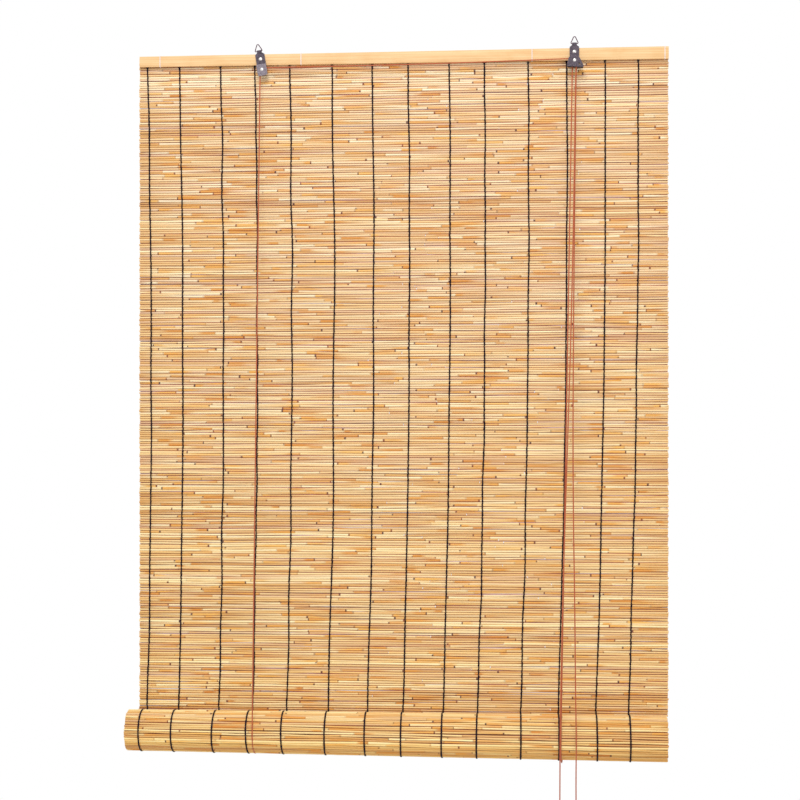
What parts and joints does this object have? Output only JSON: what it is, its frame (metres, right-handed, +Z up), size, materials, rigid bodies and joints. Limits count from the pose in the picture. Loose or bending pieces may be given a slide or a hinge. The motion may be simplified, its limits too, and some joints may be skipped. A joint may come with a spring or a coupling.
{
  "type": "roll-up reed blind",
  "caption": "Roll-up blind of thin woven reeds under a flat bamboo batten, half raised, hung from two ringed straps with pulleys, a cord lock and two lift cords.",
  "frame": {"origin": "where the left hook touches the inside of the left ring", "axes": "+X to the blind's right, +Y from its front to its back, +Z up"},
  "size_m": [0.816, 0.0876, 1.2533],
  "materials": {
    "bamboo": "dry split bamboo, faint grain",
    "reed": "dry peeled reed, straw to tan",
    "warp_thread": "twined dark cotton",
    "tie_thread": "thin pale thread",
    "dark_steel": "dark bronzed steel, satin",
    "housing_steel": "grey bronzed steel, worn",
    "ring_steel": "dark drawn wire",
    "rivet_steel": "bright rivet",
    "pulley_metal": "turned steel",
    "roller_brass": "knurled brass",
    "lift_cord": "braided brick-red cord"
  },
  "bodies": {
    "blind": {"front_batten": "bamboo", "rear_batten": "bamboo", "reed_mat": "reed", "warp_thread_01": "warp_thread", "warp_thread_02": "warp_thread", "warp_thread_03": "warp_thread", "warp_thread_04": "warp_thread", "warp_thread_05": "warp_thread", "warp_thread_06": "warp_thread", "warp_thread_07": "warp_thread", "warp_thread_08": "warp_thread", "warp_thread_09": "warp_thread", "warp_thread_10": "warp_thread", "warp_thread_11": "warp_thread", "warp_thread_12": "warp_thread", "warp_thread_13": "warp_thread", "warp_thread_14": "warp_thread", "batten_tie_1": "tie_thread", "batten_tie_2": "tie_thread", "batten_tie_3": "tie_thread", "batten_tie_4": "tie_thread", "hanger_strap_left": "dark_steel", "strap_rivet_left": "rivet_steel", "pulley_axle_left": "rivet_steel", "lift_cord_left": "lift_cord", "cord_loop_left": "lift_cord", "tail_knot_left": "lift_cord", "hanger_strap_right": "dark_steel", "strap_rivet_right": "rivet_steel", "pulley_axle_right": "rivet_steel", "lift_cord_right": "lift_cord", "cord_loop_right": "lift_cord", "tail_knot_right": "lift_cord", "pulley_housing_left": "housing_steel", "lock_housing_right": "dark_steel"},
    "roll": {"reed_roll": "reed", "roll_thread_01": "warp_thread", "roll_thread_02": "warp_thread", "roll_thread_03": "warp_thread", "roll_thread_04": "warp_thread", "roll_thread_05": "warp_thread", "roll_thread_06": "warp_thread", "roll_thread_07": "warp_thread", "roll_thread_08": "warp_thread", "roll_thread_09": "warp_thread", "roll_thread_10": "warp_thread", "roll_thread_11": "warp_thread", "roll_thread_12": "warp_thread", "roll_thread_13": "warp_thread", "roll_thread_14": "warp_thread"},
    "ring_left": {"hanger_ring_left": "ring_steel"},
    "ring_right": {"hanger_ring_right": "ring_steel"},
    "pulley_left": {"pulley_left": "pulley_metal"},
    "pulley_right": {"pulley_right": "pulley_metal"},
    "lock_roller": {"lock_roller": "roller_brass"}
  },
  "joints": [
    {"name": "roll_lift", "type": "slide", "parent": "blind", "child": "roll", "axis": [0, 0, 1], "range_m": [0, 0.93], "deforming": ["reed_mat", "warp_thread_01", "warp_thread_02", "warp_thread_03", "warp_thread_04", "warp_thread_05", "warp_thread_06", "warp_thread_07", "warp_thread_08", "warp_thread_09", "warp_thread_10", "warp_thread_11", "warp_thread_12", "warp_thread_13", "warp_thread_14", "lift_cord_left", "lift_cord_right"]},
    {"name": "ring_left_swing", "type": "hinge", "parent": "blind", "child": "ring_left", "pos_m": [0.00236, 0, -0.00944], "axis": [0.9863, 0, 0.165], "range_deg": [-80, 80]},
    {"name": "ring_right_swing", "type": "hinge", "parent": "blind", "child": "ring_right", "pos_m": [0.4803, 0, -0.0058], "axis": [1, 0, 0], "range_deg": [-80, 80]},
    {"name": "pulley_left_spin", "type": "hinge", "parent": "blind", "child": "pulley_left", "pos_m": [0.0072, 0, -0.03834], "axis": [0, 1, 0], "continuous": true},
    {"name": "pulley_right_spin", "type": "hinge", "parent": "blind", "child": "pulley_right", "pos_m": [0.4803, 0, -0.0326], "axis": [0, 1, 0], "continuous": true},
    {"name": "lock_roller_slide", "type": "slide", "parent": "blind", "child": "lock_roller", "axis": [-0.5, 0, 0.866], "range_m": [0, 0.0026]}
  ]
}
